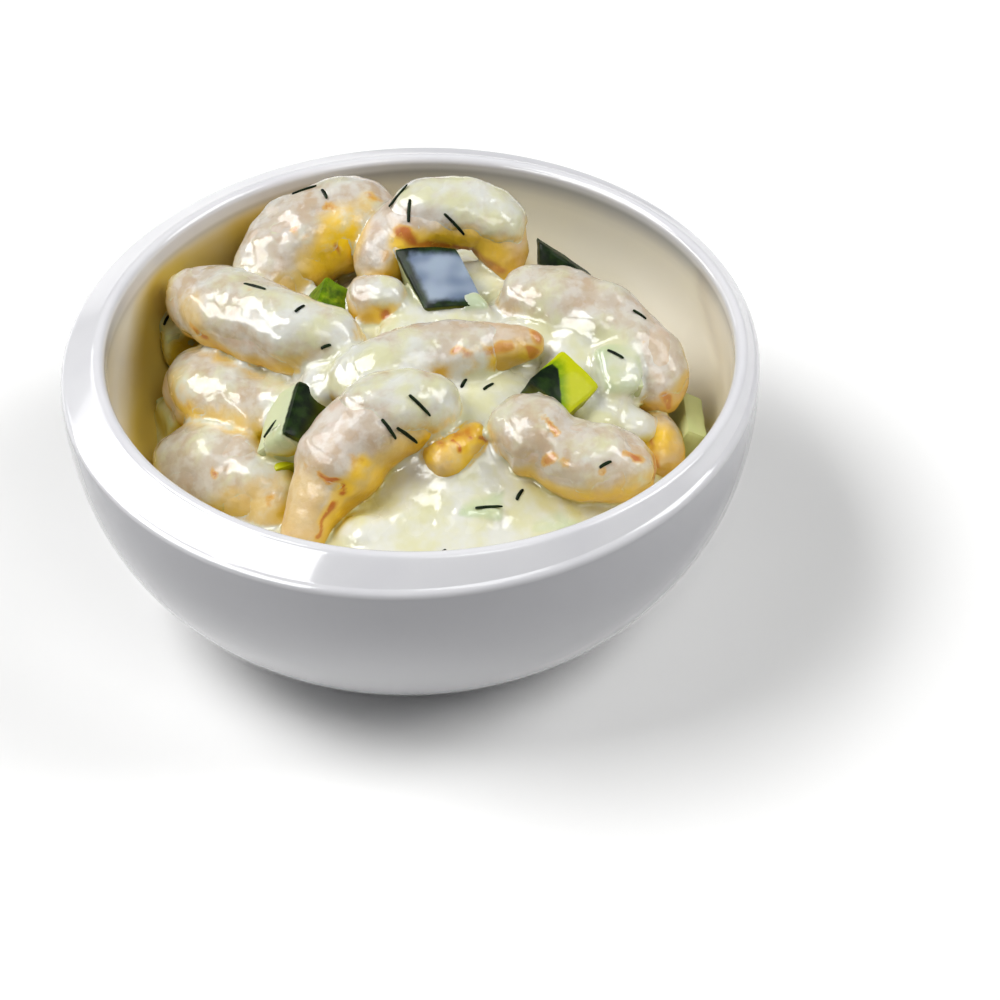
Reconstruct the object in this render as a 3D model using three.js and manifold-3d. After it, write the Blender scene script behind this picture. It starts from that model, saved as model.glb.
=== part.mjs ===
// A small white porcelain bowl of peeled cold-water shrimp in a thick dill cream, with diced cucumber.
// Millimetres, +Z up, on the table at the middle of the bowl's foot; the photograph looks along +Y.
import * as THREE from "three";
import { mergeVertices } from "three/addons/utils/BufferGeometryUtils.js";
import Module from "manifold-3d";

const wasm = await Module();
wasm.setup();

// Driving sizes of the bowl.
const BOWL_RADIUS = 50;
const CREASE_HEIGHT = 36.5; // where the round body turns in to the sloping rim
const FOOT_RADIUS = 17;
const FOOT_RING = 2.6;
const FOOT_HOLLOW = 1;
const FOOT_SLANT = 0.8;
// Radius and height of the rim's rounded roll, up to the ridge where a flat band leads to the lip.
const RIM = [
  [50, 36.2],
  [49.93, 36.75],
  [49.6, 37.38],
  [49.12, 37.8],
];
const BODY_POWER = 2.23; // 2 would be an ellipse
const LIP_RADIUS = 45.95; // to the middle of the rounded lip
const LIP_RISE = 2.55; // from the crease to the middle of the rounded lip
const LIP_ROUND = 1.1;
const LIP_START = 50; // degrees up from level where the lip's round leaves the band
const WALL_RADIUS = 45.1; // the inside at its widest, under the lip
const WALL_WIDEST = 31;
const FLOOR_HEIGHT = 5.5;
const FLOOR_RADIUS = 10;
const MOUTH_SHIFT = [1.5, -0.2]; // the mouth sits a little off the bowl's middle
const MOUTH_SLOPE = [-0.93, -1.31]; // and is that much lower at the right and at the back
const WALL_FIXED = 8; // the wall follows it above this height
const BOWL_SEGMENTS = 52;
const BODY_STEPS = 8;
const LIP_STEPS = 6;

// Driving sizes of the food.
const GAP = 0.35; // between a piece and what it is cut by
const WALL_GAP = 0.5; // between the cream and the bowl
const SAUCE_RINGS = 6;
const WALL_RINGS = 6;
const WALL_CROWD = 1.8; // crowds those rings towards the floor, where the wall bends most
const SITE_WIDTH = 8; // how far each measured height of the cream reaches
const SHORE_ROUNDS = 12; // to find where the cream meets the wall
const SHORE_STEP = 0.7;
const RING_POINTS = 11;
const BODY_RINGS = 13;
const RING_CROWD = 0.75; // crowds the rings towards both ends
const SHRIMP_DEEP = 1.1; // from middle to back, of the girth
const SHRIMP_BELLY = 0.85; // the belly is that much shallower than the back
const SHRIMP_NECK = 0.9;
const END_SQUARE = 4; // how late the ends round off
const END_ROUND = 0.42;
const DENT_WIDTH = 0.09; // of the length
const SEGMENT_COUNT = 5.5;
const SEGMENT_STEP = 0.07; // how far each shell segment stands out, of the girth
const SKIN_RADIUS = 20; // of the whole cucumber
const DICE_BEVEL = 0.45;
const FLECK = [3.2, 0.8, 0.7]; // a snippet of dill
const FLECK_SUNK = 0.3;
const ABOVE_ALL = 80;

const porcelain = { color: 0xf1f1f4, roughness: 0.12 };
const cream = { color: 0xf0f0d8, roughness: 0.25 };
const flesh = { color: 0xeed6bc, roughness: 0.3 };
const cucumber = { color: 0x8fae3c, roughness: 0.35 };

const group = new THREE.Group();

function solid(geometry) {
  const bare = geometry.clone();
  bare.deleteAttribute("uv");
  bare.deleteAttribute("normal");
  const merged = mergeVertices(bare, 1e-4);
  const surface = new wasm.Mesh({
    numProp: 3,
    vertProperties: new Float32Array(merged.attributes.position.array),
    triVerts: new Uint32Array(merged.index.array),
  });
  return new wasm.Manifold(surface);
}

// The largest piece of a solid as a geometry: a cut can leave a crumb beside it.
function geometryOf(body) {
  const [largest] = body.decompose().sort((a, b) => b.volume() - a.volume());
  const surface = largest.getMesh();
  const geometry = new THREE.BufferGeometry();
  geometry.setAttribute("position", new THREE.BufferAttribute(surface.vertProperties, 3));
  geometry.setIndex(new THREE.BufferAttribute(surface.triVerts, 1));
  geometry.computeVertexNormals();
  return geometry;
}

function add(name, body, finish) {
  const mesh = new THREE.Mesh(geometryOf(body), new THREE.MeshStandardMaterial(finish));
  mesh.name = name;
  group.add(mesh);
}

const clamp = THREE.MathUtils.clamp;
const smooth = THREE.MathUtils.smoothstep;

// The bowl: a turned form whose mouth is then moved a little off its middle.

// Radius at a height of the quarter curve that leaves a flat and rises to the widest place.
function curveRadius(height, flat, widest, top) {
  const left = clamp(1 - height / top, 0, 1);
  return flat + (widest - flat) * (1 - left ** BODY_POWER) ** (1 / BODY_POWER);
}

// Height of the same curve after a part of its quarter turn.
function curveHeight(part, top) {
  return top * (1 - Math.cos((part * Math.PI) / 2) ** (2 / BODY_POWER));
}

function wallRadius(height) {
  return curveRadius(height - FLOOR_HEIGHT, FLOOR_RADIUS, WALL_RADIUS, WALL_WIDEST - FLOOR_HEIGHT);
}

// Radius at a height of what stays a gap clear of the floor and the wall.
function clearRadius(height, gap) {
  return wallRadius(height - gap) - gap;
}

// How far the inside of the wall follows the moved mouth.
function wallFollow(height) {
  return smooth(height, WALL_FIXED, CREASE_HEIGHT);
}

function followMouth([x, y, z], follow) {
  const slope = (MOUTH_SLOPE[0] * x + MOUTH_SLOPE[1] * y) / BOWL_RADIUS;
  return [x + MOUTH_SHIFT[0] * follow, y + MOUTH_SHIFT[1] * follow, z + slope * follow];
}

function arc(radius, height, round, from, to, steps, follow) {
  const points = [];
  for (let i = 0; i <= steps; i++) {
    const turn = from + ((to - from) * i) / steps;
    points.push([radius + round * Math.cos(turn), height + round * Math.sin(turn), follow]);
  }
  return points;
}

// Each point is a radius, a height and how far it follows the moved mouth.
function bowlProfile() {
  const points = [
    [0, FOOT_HOLLOW, 0],
    [FOOT_RADIUS - FOOT_RING - FOOT_SLANT, FOOT_HOLLOW, 0],
    [FOOT_RADIUS - FOOT_RING, 0, 0],
    [FOOT_RADIUS, 0, 0],
  ];
  for (let i = 1; i < BODY_STEPS; i++) {
    const height = curveHeight(i / BODY_STEPS, CREASE_HEIGHT);
    points.push([curveRadius(height, FOOT_RADIUS, BOWL_RADIUS, CREASE_HEIGHT), height, 0]);
  }
  for (const [radius, height] of RIM) {
    points.push([radius, height, 0]);
  }
  const lipHeight = CREASE_HEIGHT + LIP_RISE;
  const lipStart = THREE.MathUtils.degToRad(LIP_START);
  points.push(...arc(LIP_RADIUS, lipHeight, LIP_ROUND, lipStart, Math.PI, LIP_STEPS, 1));
  const underLip = (lipHeight + WALL_WIDEST) / 2;
  points.push([(LIP_RADIUS - LIP_ROUND + WALL_RADIUS) / 2, underLip, wallFollow(underLip)]);
  for (let i = BODY_STEPS; i > 0; i--) {
    const height = FLOOR_HEIGHT + curveHeight(i / BODY_STEPS, WALL_WIDEST - FLOOR_HEIGHT);
    points.push([wallRadius(height), height, wallFollow(height)]);
  }
  points.push([FLOOR_RADIUS, FLOOR_HEIGHT, 0], [0, FLOOR_HEIGHT, 0]);
  return points;
}

// A form turned about Z in which place(turn, j) gives the place of each point.
function turned(rows, place) {
  const column = Array.from({ length: rows }, (_, j) => new THREE.Vector2(1, j));
  const lathe = new THREE.LatheGeometry(column, BOWL_SEGMENTS);
  const at = lathe.attributes.position;
  for (let n = 0; n < at.count; n++) {
    const turn = ((Math.floor(n / rows) % BOWL_SEGMENTS) / BOWL_SEGMENTS) * Math.PI * 2;
    at.setXYZ(n, ...place(turn, n % rows));
  }
  return solid(lathe);
}

function bowl() {
  const profile = bowlProfile();
  return turned(profile.length, (turn, j) => {
    const [radius, height, follow] = profile[j];
    return followMouth([radius * Math.cos(turn), radius * Math.sin(turn), height], follow);
  });
}

// The room inside the bowl that the food can fill, GAP clear of the wall and open above.
function room() {
  const heights = [FLOOR_HEIGHT + GAP, FLOOR_HEIGHT + GAP];
  for (let i = 1; i <= BODY_STEPS; i++) {
    heights.push(FLOOR_HEIGHT + curveHeight(i / BODY_STEPS, WALL_WIDEST - FLOOR_HEIGHT));
  }
  heights.push(CREASE_HEIGHT + LIP_RISE, ABOVE_ALL, ABOVE_ALL);
  const radii = heights.map((height, j) => {
    if (j === 0 || j === heights.length - 1) return 0;
    return height > WALL_WIDEST ? LIP_RADIUS - LIP_ROUND - GAP : clearRadius(height, GAP);
  });
  return turned(heights.length, (turn, j) => {
    const at = [radii[j] * Math.cos(turn), radii[j] * Math.sin(turn), heights[j]];
    return followMouth(at, wallFollow(heights[j]));
  });
}

// The cream: a mound whose height is known at these places [x, y, z].
const SAUCE_SITES = [
  [8, -5, 34],
  [-4, 5, 33],
  [2, 20, 32],
  [20, 16, 31],
  [4, 43, 26],
  [-26, 33, 23],
  [-42, 18, 16],
  [-43, 0, 12.5],
  [-28, -2, 16],
  [-24, 16, 26],
  [-22, -20, 18],
  [-6, -21, 24],
  [-3, -42, 19],
  [18, -21, 24],
  [26, -34, 19],
  [31, 2, 27],
  [44, 0, 12],
  [42, 18, 13],
  [31, 34, 18],
];

function sauceHeight(x, y) {
  let total = 0;
  let weights = 0;
  for (const [atX, atY, height] of SAUCE_SITES) {
    const weight = Math.exp(-((x - atX) ** 2 + (y - atY) ** 2) / (2 * SITE_WIDTH ** 2)) + 1e-9;
    total += weight * height;
    weights += weight;
  }
  return total / weights;
}

function sauce() {
  const rows = 1 + WALL_RINGS + SAUCE_RINGS + 1;
  const shore = (turn) => {
    let place = [0, 0, 0];
    let height = 20;
    for (let i = 0; i < SHORE_ROUNDS; i++) {
      const radius = clearRadius(height, WALL_GAP);
      const at = [radius * Math.cos(turn), radius * Math.sin(turn), height];
      place = followMouth(at, wallFollow(height));
      height += (sauceHeight(place[0], place[1]) - place[2]) * SHORE_STEP;
    }
    return { place, height };
  };
  return turned(rows, (turn, j) => {
    const edge = shore(turn);
    if (j <= WALL_RINGS) {
      const part = Math.max(j - 1, 0) / (WALL_RINGS - 1);
      const low = FLOOR_HEIGHT + WALL_GAP;
      const height = low + (edge.height - low) * part ** WALL_CROWD;
      const radius = j === 0 ? 0 : clearRadius(height, WALL_GAP);
      const at = [radius * Math.cos(turn), radius * Math.sin(turn), height];
      return followMouth(at, wallFollow(height));
    }
    const part = 1 - (j - WALL_RINGS) / (SAUCE_RINGS + 1);
    const middle = rows - 1 === j ? 0 : part;
    const x = edge.place[0] * middle + MOUTH_SHIFT[0] * (1 - middle);
    const y = edge.place[1] * middle + MOUTH_SHIFT[1] * (1 - middle);
    return [x, y, sauceHeight(x, y)];
  });
}

// A peeled shrimp: a round form wrapped on its spine, head end first, with the back outside the curl.
function shrimp({ spine, girth, tail, dent = [0.5, 0] }) {
  return (grow) => {
    const curve = new THREE.CatmullRomCurve3(spine.map((p) => new THREE.Vector3(...p)));
    const [front, middle, end] = [0, 0.5, 1].map((t) => curve.getPointAt(t));
    const out = middle.clone().sub(front.clone().add(end).multiplyScalar(0.5));
    const side = new THREE.Vector3().crossVectors(end.clone().sub(front), out).normalize();
    const ball = new THREE.SphereGeometry(1, RING_POINTS, BODY_RINGS);
    const at = ball.attributes.position;
    for (let n = 0; n < at.count; n++) {
      const lean = at.getY(n);
      const along = 0.5 - 0.5 * Math.sign(lean) * Math.abs(lean) ** RING_CROWD;
      const tangent = curve.getTangentAt(along);
      const back = new THREE.Vector3().crossVectors(side, tangent).normalize();
      if (back.dot(out) < 0) back.negate();
      const across = new THREE.Vector3().crossVectors(tangent, back).normalize();
      const ends = (1 - Math.abs(2 * along - 1) ** END_SQUARE) ** END_ROUND;
      const head = SHRIMP_NECK + (1 - SHRIMP_NECK) * smooth(along, 0, 0.25);
      const taper = head - (1 - tail) * smooth(along, 0.35, 1);
      const slim = 1 - dent[1] * Math.exp(-(((along - dent[0]) / DENT_WIDTH) ** 2));
      const turn = Math.atan2(at.getZ(n), at.getX(n));
      const step = ((along * SEGMENT_COUNT) % 1) - 0.5;
      const shell = 1 + (SEGMENT_STEP * step * (1 + Math.cos(turn))) / 2;
      const radius = girth * taper * ends * shell * slim + (ends > 0 ? grow : 0);
      const depth = radius * SHRIMP_DEEP * Math.cos(turn) * (Math.cos(turn) > 0 ? 1 : SHRIMP_BELLY);
      const spot = curve.getPointAt(along);
      spot.addScaledVector(back, ends > 0 ? depth : 0);
      spot.addScaledVector(across, ends > 0 ? radius * Math.sin(turn) : 0);
      spot.addScaledVector(tangent, grow * (2 * along - 1));
      at.setXYZ(n, spot.x, spot.y, spot.z);
    }
    return solid(ball);
  };
}

// A piece of cucumber with the round skin uppermost, leant over and then turned about X, Y and Z in degrees.
function dice({ at, size, turn, skew = [0, 0] }) {
  return (grow) => {
    const [wide, deep, high] = size.map((side) => side + 2 * grow);
    const rise = SKIN_RADIUS - Math.sqrt(SKIN_RADIUS ** 2 - (wide / 2) ** 2);
    const half = wide / 2 - DICE_BEVEL;
    const shape = new THREE.Shape();
    shape.moveTo(-half, DICE_BEVEL - high / 2);
    shape.lineTo(half, DICE_BEVEL - high / 2);
    for (const part of [1, 0.5, 0, -0.5, -1]) {
      shape.lineTo(half * part, high / 2 - rise * part ** 2 - DICE_BEVEL);
    }
    const block = new THREE.ExtrudeGeometry(shape, {
      depth: deep - 2 * DICE_BEVEL,
      bevelSize: DICE_BEVEL,
      bevelThickness: DICE_BEVEL,
      bevelSegments: 1,
    });
    block.translate(0, 0, DICE_BEVEL - deep / 2);
    block.rotateX(Math.PI / 2);
    block.applyMatrix4(new THREE.Matrix4().makeShear(skew[1], 0, skew[0], 0, 0, 0));
    const angles = new THREE.Euler(...turn.map(THREE.MathUtils.degToRad), "XYZ");
    block.applyMatrix4(new THREE.Matrix4().makeRotationFromEuler(angles));
    block.translate(...at);
    return solid(block);
  };
}

// The pieces, from the top of the heap down: each is cut clear of those before it.
const pieces = {
  shrimp_front: shrimp({
    spine: [
      [6.6, -6.8, 32.6],
      [-0.4, -8, 33.2],
      [-7, -10.4, 31.1],
      [-12.3, -14.6, 26.2],
      [-16, -19.6, 21.4],
      [-18, -24, 17],
    ],
    girth: 6.4,
    tail: 0.5,
  }),
  cucumber_skin_up: dice({
    at: [5, 17.8, 35],
    size: [9.2, 10.4, 7],
    turn: [20, 0, -2],
    skew: [-0.42, 0],
  }),
  cucumber_lime: dice({ at: [20.8, -4.2, 32.3], size: [7.6, 7.6, 7.4], turn: [22, 18, -44] }),
  shrimp_middle: shrimp({
    spine: [
      [-10.5, -2.4, 30],
      [-4, 1.2, 32.8],
      [4, 2.8, 34],
      [12, 2.8, 35.2],
      [19.3, 3.1, 35.6],
    ],
    girth: 5.3,
    tail: 0.62,
  }),
  shrimp_right_upper: shrimp({
    spine: [
      [13, 14.6, 33.8],
      [19.4, 13.9, 34],
      [26.4, 11.4, 33.2],
      [32, 7, 30.9],
      [35.2, 2.4, 28],
      [33.6, -1.8, 25.6],
    ],
    girth: 5.6,
    tail: 0.9,
  }),
  shrimp_right_lower: shrimp({
    spine: [
      [11.2, -9.8, 31],
      [16, -11, 31],
      [22, -14.6, 29],
      [28.3, -15.2, 27.4],
      [32.6, -12.4, 25],
    ],
    girth: 6,
    tail: 0.85,
    dent: [0.4, 0.13],
  }),
  shrimp_left_upper: shrimp({
    spine: [
      [-34.2, 24.4, 29.8],
      [-29.5, 20.6, 32],
      [-22.5, 14.6, 33],
      [-14.8, 9.8, 33],
      [-6.5, 8, 31.4],
    ],
    girth: 6.2,
    tail: 0.95,
  }),
  cucumber_left: dice({ at: [-16.3, -3.2, 27.2], size: [8, 9.8, 8], turn: [22, 37, -17] }),
  shrimp_back_middle: shrimp({
    spine: [
      [-4.6, 20.8, 32.4],
      [-1.4, 26, 36.2],
      [5, 28.4, 39.6],
      [12.4, 27, 39],
      [15.8, 21.8, 32.6],
    ],
    girth: 6.2,
    tail: 0.7,
  }),
  shrimp_back_left: shrimp({
    spine: [
      [0, 32.6, 35],
      [-7, 33, 35.2],
      [-14.2, 31.4, 34],
      [-19, 27, 31],
      [-18.4, 21.6, 26.8],
    ],
    girth: 7.2,
    tail: 0.95,
  }),
  cucumber_back: dice({
    at: [23.8, 24, 31],
    size: [8, 6, 6],
    turn: [60, 0, 0],
    skew: [0, -0.75],
  }),
  cucumber_green: dice({ at: [-11.6, 17.2, 32.4], size: [6, 6, 6], turn: [20, 30, -20] }),
  shrimp_behind_dice: shrimp({
    spine: [
      [-8.1, 17.5, 32.5],
      [-4.3, 16, 34],
      [-0.8, 14.1, 33],
    ],
    girth: 4,
    tail: 0.8,
  }),
  cucumber_right: dice({ at: [29.6, 0.4, 31], size: [5.5, 7, 6], turn: [20, 15, 10] }),
  shrimp_left_middle: shrimp({
    spine: [
      [-32.6, 17.6, 22],
      [-30.4, 12, 23],
      [-25.8, 7, 23.6],
      [-20, 4.4, 24],
      [-14.5, 4.4, 24.4],
    ],
    girth: 6.2,
    tail: 0.8,
  }),
  shrimp_left_lower: shrimp({
    spine: [
      [-36.8, 4, 16.4],
      [-32.2, -0.2, 18],
      [-26.6, -4, 18.6],
      [-21, -8.4, 18],
      [-18, -13.8, 17],
    ],
    girth: 6.6,
    tail: 0.75,
  }),
  shrimp_right_edge: shrimp({
    spine: [
      [31.8, -1.4, 23],
      [34.8, -5.1, 22],
      [34.8, -10, 20.5],
    ],
    girth: 4.2,
    tail: 0.8,
  }),
  shrimp_front_small: shrimp({
    spine: [
      [1.6, -13.4, 27],
      [6, -11.6, 28.8],
      [10.2, -9, 29],
    ],
    girth: 3.8,
    tail: 0.8,
  }),
  cucumber_sliver: dice({ at: [-18.4, -4.9, 22.6], size: [6, 6, 4], turn: [0, 0, 20] }),
  cucumber_wall: dice({ at: [38.6, -0.6, 19.6], size: [3.4, 9, 10], turn: [0, 30, 0] }),
  cucumber_front: dice({ at: [9.2, -18.4, 22.2], size: [6, 7, 7], turn: [0, 0, -12] }),
  cucumber_left_wall: dice({ at: [-34.4, 23.6, 23.6], size: [6, 7, 7], turn: [0, 0, 20] }),
  cucumber_low_left: dice({ at: [-33.8, 11.6, 16.8], size: [7, 7, 7], turn: [0, 0, 20] }),
  cucumber_front_right: dice({ at: [19, -20.4, 20.2], size: [8, 6, 6], turn: [0, 0, 6] }),
};

const inside = room();
const forms = [];
for (const [name, form] of Object.entries(pieces)) {
  let body = form(0).intersect(inside);
  for (const other of forms) {
    body = body.subtract(other.form(GAP));
  }
  forms.push({ name, form, body });
}
let mound = sauce();
for (const { form } of forms) {
  mound = mound.subtract(form(GAP));
}

add("bowl", bowl(), porcelain);
add("sauce", mound, cream);
for (const { name, body } of forms) {
  add(name, body, name.startsWith("shrimp") ? flesh : cucumber);
}

// Snippets of dill [x, y, turn in degrees], each one lying on what is uppermost there.
const DILL = [
  [7.5, 23.5, -60],
  [1, 25.5, 80],
  [-0.5, 28.5, 30],
  [1, -12, -38],
  [-3.5, -14.5, -50],
  [-1, -14, -22],
  [11, -3, 40],
  [7.5, -2.5, 60],
  [29.5, 0.5, -35],
  [33.5, 7.5, -20],
  [-15.5, 8.5, 45],
  [-22, 14, -35],
  [-14.5, 34.5, 15],
  [-11.5, 32.5, -70],
  [-20.5, -4.5, 30],
  [-12, 4, 20],
  [14.5, -18, 60],
  [26.5, -20, 30],
  [10, -21, 0],
  [3, -27, 50],
  [-36, 23, 60],
];

const up = new THREE.Vector3(0, 0, 1);
for (const [x, y, turn] of DILL) {
  const fall = new THREE.Raycaster(new THREE.Vector3(x, y, ABOVE_ALL), up.clone().negate());
  const [hit] = fall.intersectObjects(group.children);
  const block = new THREE.BoxGeometry(...FLECK);
  block.translate(0, 0, FLECK[2] / 2 - FLECK_SUNK);
  block.rotateZ(THREE.MathUtils.degToRad(turn));
  block.applyQuaternion(new THREE.Quaternion().setFromUnitVectors(up, hit.face.normal));
  block.translate(...hit.point);
  hit.object.geometry = geometryOf(solid(hit.object.geometry).add(solid(block)));
}

export default group;
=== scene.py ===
import math
import bpy
import bmesh
import numpy
from mathutils import Euler, Matrix, Vector, noise
from mathutils.bvhtree import BVHTree
from mathutils.geometry import interpolate_bezier


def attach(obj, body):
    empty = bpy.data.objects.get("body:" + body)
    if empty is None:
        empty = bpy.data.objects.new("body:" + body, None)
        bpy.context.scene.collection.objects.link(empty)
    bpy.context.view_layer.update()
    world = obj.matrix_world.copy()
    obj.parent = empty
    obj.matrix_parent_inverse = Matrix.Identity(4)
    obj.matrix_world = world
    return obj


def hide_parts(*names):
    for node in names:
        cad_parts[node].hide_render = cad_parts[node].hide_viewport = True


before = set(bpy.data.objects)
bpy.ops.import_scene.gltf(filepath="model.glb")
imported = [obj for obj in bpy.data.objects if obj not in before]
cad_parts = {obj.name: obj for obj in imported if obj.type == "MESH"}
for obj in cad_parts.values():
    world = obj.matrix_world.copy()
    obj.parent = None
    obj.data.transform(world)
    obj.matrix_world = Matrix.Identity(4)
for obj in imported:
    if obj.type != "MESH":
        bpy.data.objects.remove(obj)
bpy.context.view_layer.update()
mm = 0.001


# handwork: choosing, finishing and marking a piece

def choose(piece):
    bpy.ops.object.select_all(action="DESELECT")
    piece.select_set(True)
    bpy.context.view_layer.objects.active = piece


def openUp(piece):
    choose(piece)
    bpy.ops.object.mode_set(mode="EDIT")
    bpy.ops.mesh.select_all(action="SELECT")


def closeUp():
    bpy.ops.object.mode_set(mode="OBJECT")


def pick(piece, wanted):
    # in edit mode: selects the points for which wanted(place) is true
    shape = bmesh.from_edit_mesh(piece.data)
    bpy.ops.mesh.select_all(action="DESELECT")
    for point in shape.verts:
        point.select_set(bool(wanted(point.co)))
    shape.select_flush(True)
    bmesh.update_edit_mesh(piece.data)


def finishWith(piece, kind, **settings):
    choose(piece)
    modifier = piece.modifiers.new(kind.title(), kind)
    for name, value in settings.items():
        setattr(modifier, name, value)
    bpy.ops.object.modifier_apply(modifier=modifier.name)


def roughen(piece, size, height, kind="CLOUDS"):
    # soft random lumps, or with kind VORONOI bulges with creases between them
    texture = bpy.data.textures.new("lumps", kind)
    texture.noise_scale = size * mm
    settings = {"texture": texture, "strength": height * mm, "mid_level": 0.5, "texture_coords": "LOCAL"}
    finishWith(piece, "DISPLACE", **settings)


def smoothed(piece):
    choose(piece)
    bpy.ops.object.shade_smooth()


def joined(pieces, name):
    choose(pieces[0])
    for piece in pieces:
        piece.select_set(True)
    bpy.ops.object.join()
    pieces[0].name = name
    return pieces[0]


def copied(piece):
    twin = piece.copy()
    twin.data = piece.data.copy()
    bpy.context.collection.objects.link(twin)
    return twin


def mark(piece, name, values):
    layer = piece.data.attributes.new(name, "FLOAT", "POINT")
    layer.data.foreach_set("value", numpy.asarray(values, dtype=numpy.float32))


def places(piece):
    spots = numpy.empty(len(piece.data.vertices) * 3)
    piece.data.vertices.foreach_get("co", spots)
    return spots.reshape(-1, 3)


def facing(piece):
    ways = numpy.empty(len(piece.data.vertices) * 3)
    piece.data.vertex_normals.foreach_get("vector", ways)
    return ways.reshape(-1, 3)


def softStep(value, low, high):
    part = numpy.clip((value - low) / (high - low), 0, 1)
    return part * part * (3 - 2 * part)


def clump(spots, size, seed):
    # one soft random value from about -1 to 1 at each place, in lumps of a size in mm
    start = Vector((seed, 0, 0))
    return numpy.array([noise.noise(Vector(spot) / (size * mm) + start) for spot in spots]) * 1.6


def nearStroke(spots, start, end):
    # how far each place is from a straight stroke, in mm
    start, end = numpy.array(start) * mm, numpy.array(end) * mm
    run = end - start
    part = numpy.clip(((spots - start) @ run) / max(run @ run, 1e-12), 0, 1)
    return numpy.linalg.norm(spots - start - part[:, None] * run, axis=1) / mm


def evened(piece, values, rounds):
    # evens marks out along the edges
    ends = numpy.empty(len(piece.data.edges) * 2, dtype=numpy.int64)
    piece.data.edges.foreach_get("vertices", ends)
    first, second = ends.reshape(-1, 2).T
    for _ in range(rounds):
        total = values.copy()
        count = numpy.ones(len(values))
        numpy.add.at(total, first, values[second])
        numpy.add.at(total, second, values[first])
        numpy.add.at(count, first, 1)
        numpy.add.at(count, second, 1)
        values = total / count
    return values


# camera: where the photograph was taken from

view = {
    "at": (0, -0.38469978, 0.35588391),
    "right": (0.99841551, -0.0517507, -0.0220983),
    "up": (0.05106901, 0.66839858, 0.74204804),
    "back": (-0.02363103, -0.74200081, 0.66998236),
    "lens": 125.64,
}
bpy.ops.object.camera_add(location=view["at"])
camera = bpy.context.object
turn = Matrix((view["right"], view["up"], view["back"])).transposed()
camera.matrix_world = Matrix.Translation(view["at"]) @ turn.to_4x4()
camera.data.lens = view["lens"]
camera.data.sensor_width = 36
camera.data.clip_start = 0.01
bpy.context.scene.camera = camera
print("camera set")


# the bowl: rings drawn up from the foot, over the rim and down the inside

bowlSizes = {
    "radius": 50, "crease": 36.5, "foot": 17, "footRing": 2.6, "hollow": 1,
    "power": 2.23, "lip": 45.95, "lipRise": 2.55, "lipRound": 1.1,
    "rim": [  # from the crease over a rounded roll to the ridge, where a flat band leads to the lip
        (50, 36.1), (49.96, 36.32), (49.93, 36.44), (49.95, 36.6), (49.91, 36.86), (49.8, 37.12),
        (49.62, 37.37), (49.4, 37.59), (49.24, 37.71), (49.15, 37.78),
    ],
    "lipStart": 50, "bandRings": 5, "bodyRings": 16,
    "wall": 45.1, "widest": 31, "floorHeight": 5.5, "floor": 10,
    "shift": (1.5, -0.2), "slope": (-0.93, -1.31), "sides": 144,
}


def curveRadius(height, flat, widest, top):
    left = min(max(1 - height / top, 0), 1)
    power = bowlSizes["power"]
    return flat + (widest - flat) * (1 - left ** power) ** (1 / power)


def curveHeight(part, top):
    return top * (1 - math.cos(part * math.pi / 2) ** (2 / bowlSizes["power"]))


def wallRadius(height):
    low = bowlSizes["floorHeight"]
    return curveRadius(height - low, bowlSizes["floor"], bowlSizes["wall"], bowlSizes["widest"] - low)


def eased(value, low, high):
    part = min(max((value - low) / (high - low), 0), 1)
    return part * part * (3 - 2 * part)


def wallFollow(height):
    return eased(height, 8, bowlSizes["crease"])


def lipRings(steps):
    # the rounded lip, from where the band ends over to the inside
    s = bowlSizes
    start, height, bend = math.radians(s["lipStart"]), s["crease"] + s["lipRise"], s["lipRound"]
    turns = [start + (math.pi - start) * i / steps for i in range(steps + 1)]
    return [(s["lip"] + bend * math.cos(t), height + bend * math.sin(t), 1) for t in turns]


def bowlRings():
    # each ring: radius, height, how far it follows the mouth, which sits off the middle
    s = bowlSizes
    inner = s["foot"] - s["footRing"]
    rings = [(inner - 0.8, s["hollow"], 0), (inner - 0.5, s["hollow"] - 0.1, 0)]
    rings += [(inner, 0.25, 0), (inner + 0.3, 0, 0), (s["foot"] - 0.35, 0, 0)]
    for i in range(1, s["bodyRings"] + 1):
        height = curveHeight(i / (s["bodyRings"] + 1), s["crease"])
        rings.append((curveRadius(height, s["foot"], s["radius"], s["crease"]), height, 0))
    rings += [(radius, height, 0) for radius, height in s["rim"]]
    lip = lipRings(9)
    ridge = rings[-1]
    for i in range(s["bandRings"]):
        part = (i + 0.12) / s["bandRings"]
        rings.append(tuple(a + (b - a) * part for a, b in zip(ridge, lip[0])))
    rings += lip
    return rings + wallRings(0)


def wallRings(clear):
    # the inside of the wall from under the lip to the floor
    s = bowlSizes
    inner = s["lip"] - s["lipRound"]
    rings = []
    for part in (0.3, 0.65):
        height = s["crease"] + s["lipRise"] + (s["widest"] - s["crease"] - s["lipRise"]) * part
        rings.append((inner + (s["wall"] - inner) * part - clear, height, wallFollow(height)))
    for i in range(s["bodyRings"], 0, -1):
        height = s["floorHeight"] + curveHeight(i / s["bodyRings"], s["widest"] - s["floorHeight"])
        rings.append((wallRadius(height) - clear, height + clear, wallFollow(height)))
    return rings + [(s["floor"] * 0.6, s["floorHeight"] + clear, 0)]


def turnBy(angles, middle):
    # about the given axes, one after the other; the operator counts its angles the other way round
    for axis, angle in angles.items():
        settings = {"orient_axis": axis, "orient_type": "GLOBAL", "center_override": middle}
        bpy.ops.transform.rotate(value=-angle, **settings)


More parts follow.
